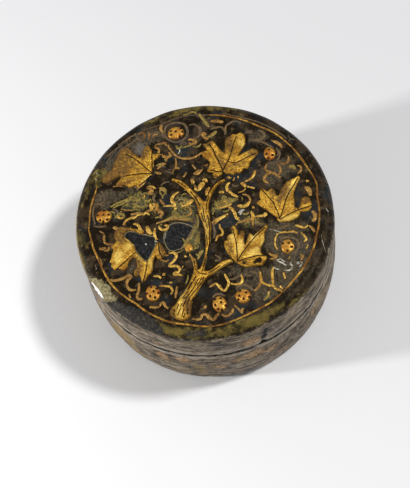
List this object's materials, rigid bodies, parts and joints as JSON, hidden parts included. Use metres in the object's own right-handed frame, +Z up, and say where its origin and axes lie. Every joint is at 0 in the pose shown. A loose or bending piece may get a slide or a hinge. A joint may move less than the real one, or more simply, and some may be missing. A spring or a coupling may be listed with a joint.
{
  "type": "lidded lacquer box",
  "caption": "Round lacquered wooden ink box with a lift-off lid, gold vine relief on top, and an inkstone, water dropper and ink stick set in a board inside.",
  "frame": {"origin": "centre of the underside of the base's foot", "axes": "+Z up through the lid; +Y away from the root of the vine on the lid; +X to the vine's right"},
  "size_m": [0.092, 0.092, 0.048],
  "materials": {
    "lid_lacquer": "black lacquer, aged, with worn olive-gold dust at the rim",
    "side_lacquer": "thin worn grey-brown lacquer over bent wood, streaked round the hoop",
    "inner_lacquer": "dark red-brown lacquer, satin",
    "gold_relief": "raised lacquer dusted with gold, worn",
    "slate": "fine dark slate, honed",
    "copper": "darkened copper",
    "pressed_ink": "pressed soot ink, satin black"
  },
  "bodies": {
    "base": {"base_hoop": "side_lacquer", "base_floor": "inner_lacquer", "inner_rim": "inner_lacquer"},
    "lid": {"lid_hoop": "side_lacquer", "lid_panel": "lid_lacquer", "gold_border": "gold_relief", "gold_trunk": "gold_relief", "gold_leaf_upper_left": "gold_relief", "gold_leaf_top": "gold_relief", "gold_leaf_right": "gold_relief", "gold_leaf_centre": "gold_relief", "gold_leaf_lower_left": "gold_relief", "gold_berry_1": "gold_relief", "gold_berry_2": "gold_relief", "gold_berry_3": "gold_relief", "gold_berry_4": "gold_relief", "gold_berry_5": "gold_relief", "gold_berry_6": "gold_relief", "gold_berry_7": "gold_relief", "gold_berry_8": "gold_relief"},
    "board": {"stone_board": "inner_lacquer"},
    "inkstone": {"inkstone": "slate"},
    "water_dropper": {"dropper_shell": "copper", "dropper_base": "copper"},
    "ink_stick": {"ink_stick": "pressed_ink"}
  },
  "joints": [
    {"name": "lid_lift", "type": "slide", "parent": "base", "child": "lid", "axis": [0, 0, 1], "range_m": [0, 0.06]},
    {"name": "board_lift", "type": "slide", "parent": "base", "child": "board", "axis": [0, 0, 1], "range_m": [0, 0.027]},
    {"name": "inkstone_lift", "type": "slide", "parent": "base", "child": "inkstone", "axis": [0, 0, 1], "range_m": [0, 0.025]},
    {"name": "dropper_lift", "type": "slide", "parent": "base", "child": "water_dropper", "axis": [0, 0, 1], "range_m": [0, 0.024]},
    {"name": "ink_stick_lift", "type": "slide", "parent": "base", "child": "ink_stick", "axis": [0, 0, 1], "range_m": [0, 0.029]}
  ]
}
